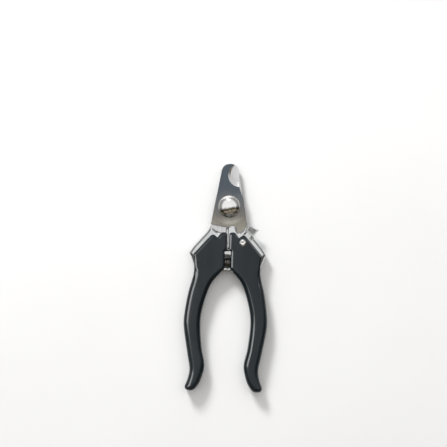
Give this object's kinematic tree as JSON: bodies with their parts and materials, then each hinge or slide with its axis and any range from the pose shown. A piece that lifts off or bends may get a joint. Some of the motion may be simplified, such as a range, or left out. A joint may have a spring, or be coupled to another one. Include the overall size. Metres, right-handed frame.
{
  "type": "pet nail clipper",
  "caption": "Plier-type pet nail clipper with claw-notched bypass blades on a domed pivot, curved black handles, an inner return spring and a thumb lock lever.",
  "frame": {"origin": "middle of the closed clipper's bounding box, on the face that it lies on", "axes": "+Y towards the blade tips, +Z out of the front face with the domed nut, +X towards the handle with the lock lever"},
  "size_m": [0.0466, 0.1272, 0.0113],
  "materials": {
    "blade_steel": "satin ground",
    "bolster_metal": "polished casting",
    "grip_plastic": "gloss",
    "spring_steel": "bright wire",
    "lever_steel": "plated sheet",
    "bright_hardware": "mirror plated"
  },
  "bodies": {
    "root": {"back_blade": "blade_steel", "left_bolster": "bolster_metal", "left_rear_grip": "grip_plastic", "left_front_grip": "grip_plastic", "left_tang_rivet": "spring_steel", "left_spring_seat": "bright_hardware", "left_upper_grip_screw": "bright_hardware", "left_lower_grip_screw": "bright_hardware", "pivot_bolt": "bright_hardware", "rear_washer": "bright_hardware", "front_washer": "bright_hardware", "dome_nut": "bright_hardware", "return_spring": "spring_steel", "lock_catch_pin": "bright_hardware"},
    "right_half": {"front_blade": "blade_steel", "right_bolster": "bolster_metal", "right_front_grip": "grip_plastic", "right_rear_grip": "grip_plastic", "right_tang_rivet": "spring_steel", "right_spring_seat": "bright_hardware", "right_upper_grip_screw": "bright_hardware", "right_lower_grip_screw": "bright_hardware", "lock_rivet": "bright_hardware", "lock_wave_washer": "spring_steel"},
    "lock_lever": {"lock_lever": "lever_steel"}
  },
  "joints": [
    {"name": "handle_pivot", "type": "hinge", "parent": "root", "child": "right_half", "pos_m": [0, 0.03975, 0.005], "axis": [0, 0, 1], "range_deg": [0, 28], "stiffness_Nm_per_rad": 0.26, "springref_deg": 29.79, "deforming": ["return_spring"]},
    {"name": "lock_swing", "type": "hinge", "parent": "right_half", "child": "lock_lever", "pos_m": [0.0082, 0.0197, 0.0075], "axis": [0, 0, -1], "range_deg": [0, 10]}
  ]
}
